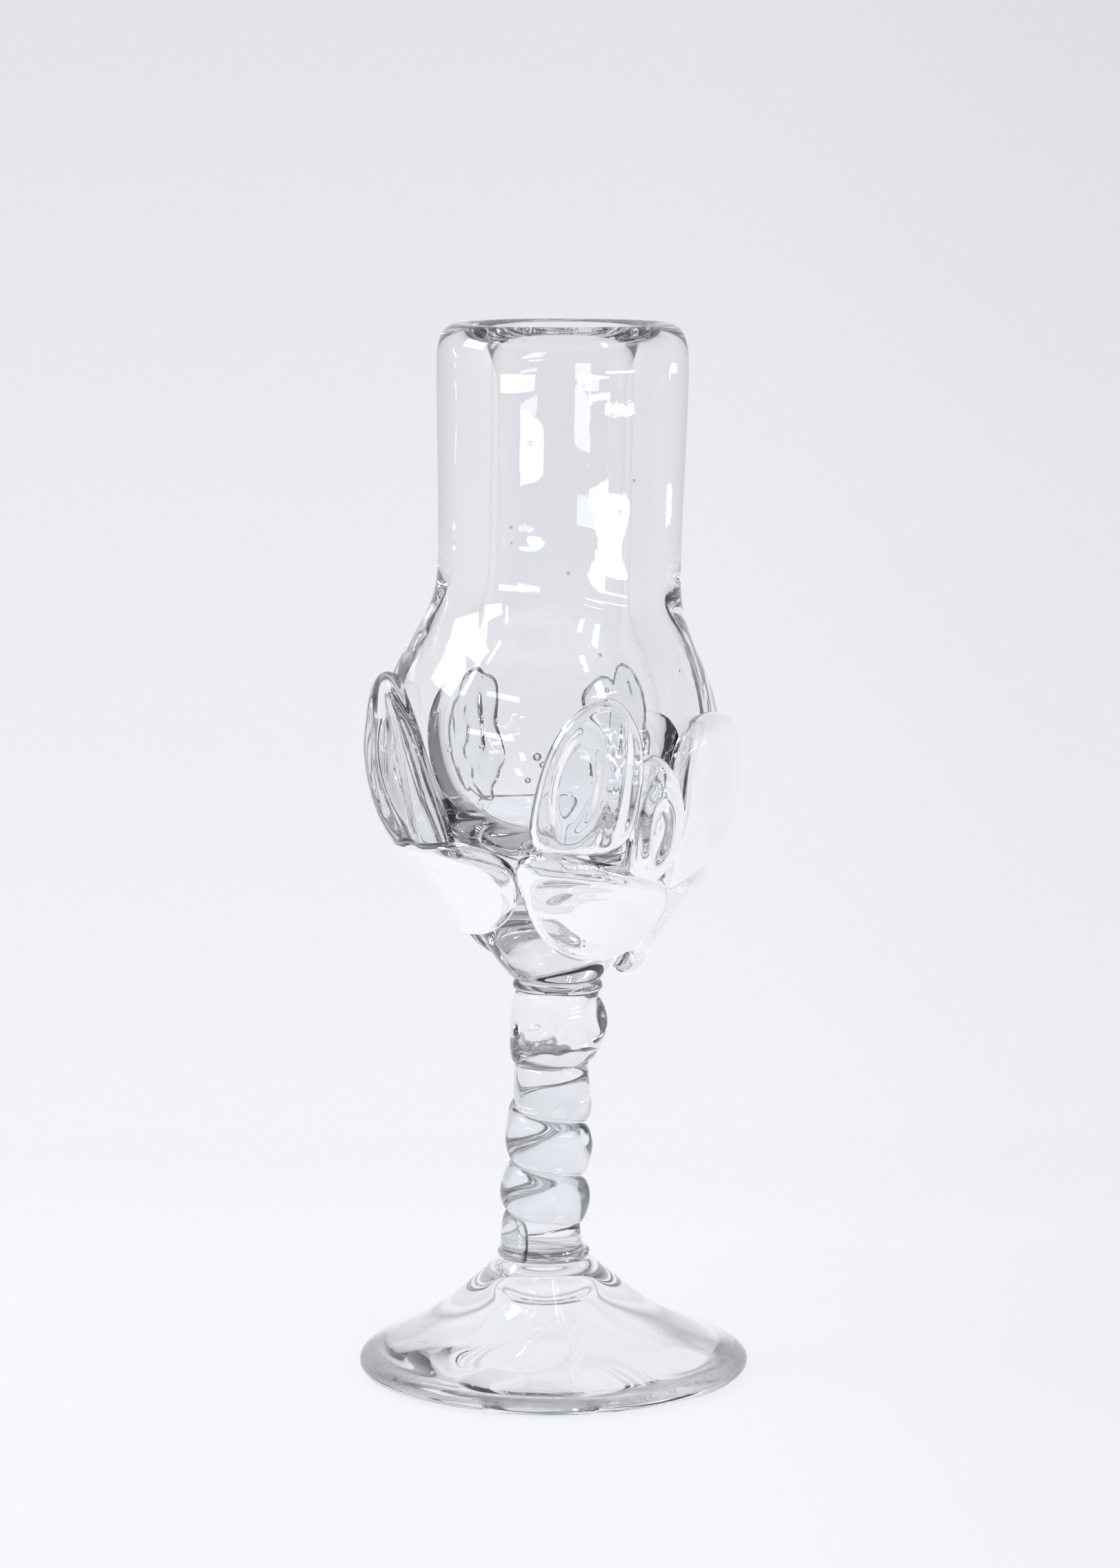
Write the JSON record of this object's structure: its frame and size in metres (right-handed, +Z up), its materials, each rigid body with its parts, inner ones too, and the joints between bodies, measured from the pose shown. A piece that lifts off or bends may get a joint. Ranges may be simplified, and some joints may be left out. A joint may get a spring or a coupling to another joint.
{
  "type": "stemmed glass goblet",
  "caption": "Clear hand-blown glass goblet: straight thick neck and round bulb wrapped in petals, on a twisted solid stem with a trail and a kicked-up foot.",
  "frame": {"origin": "centre of the foot, on the plane that it rests on", "axes": "+Z up along the stem, -Y towards the front petal, +X to the right of someone who faces that petal"},
  "size_m": [0.09, 0.09, 0.24],
  "materials": {
    "clear_glass": "fire-polished, faintly wavy",
    "leaf_glass": "hot-worked, smooth and wavy",
    "stem_glass": "hot-twisted, smooth with creases"
  },
  "bodies": {
    "root": {"cup": "clear_glass", "petal_front": "leaf_glass", "petal_left": "leaf_glass", "petal_right": "leaf_glass", "petal_front_right": "leaf_glass", "petal_back_right": "leaf_glass", "petal_back_left": "leaf_glass", "sepal_front": "leaf_glass", "sepal_left": "leaf_glass", "sepal_right": "leaf_glass", "sepal_back": "leaf_glass", "upper_collar": "clear_glass", "stem_knop": "stem_glass", "stem_rod": "stem_glass", "stem_trail": "stem_glass", "lower_collar": "clear_glass", "foot": "clear_glass"}
  },
  "joints": []
}
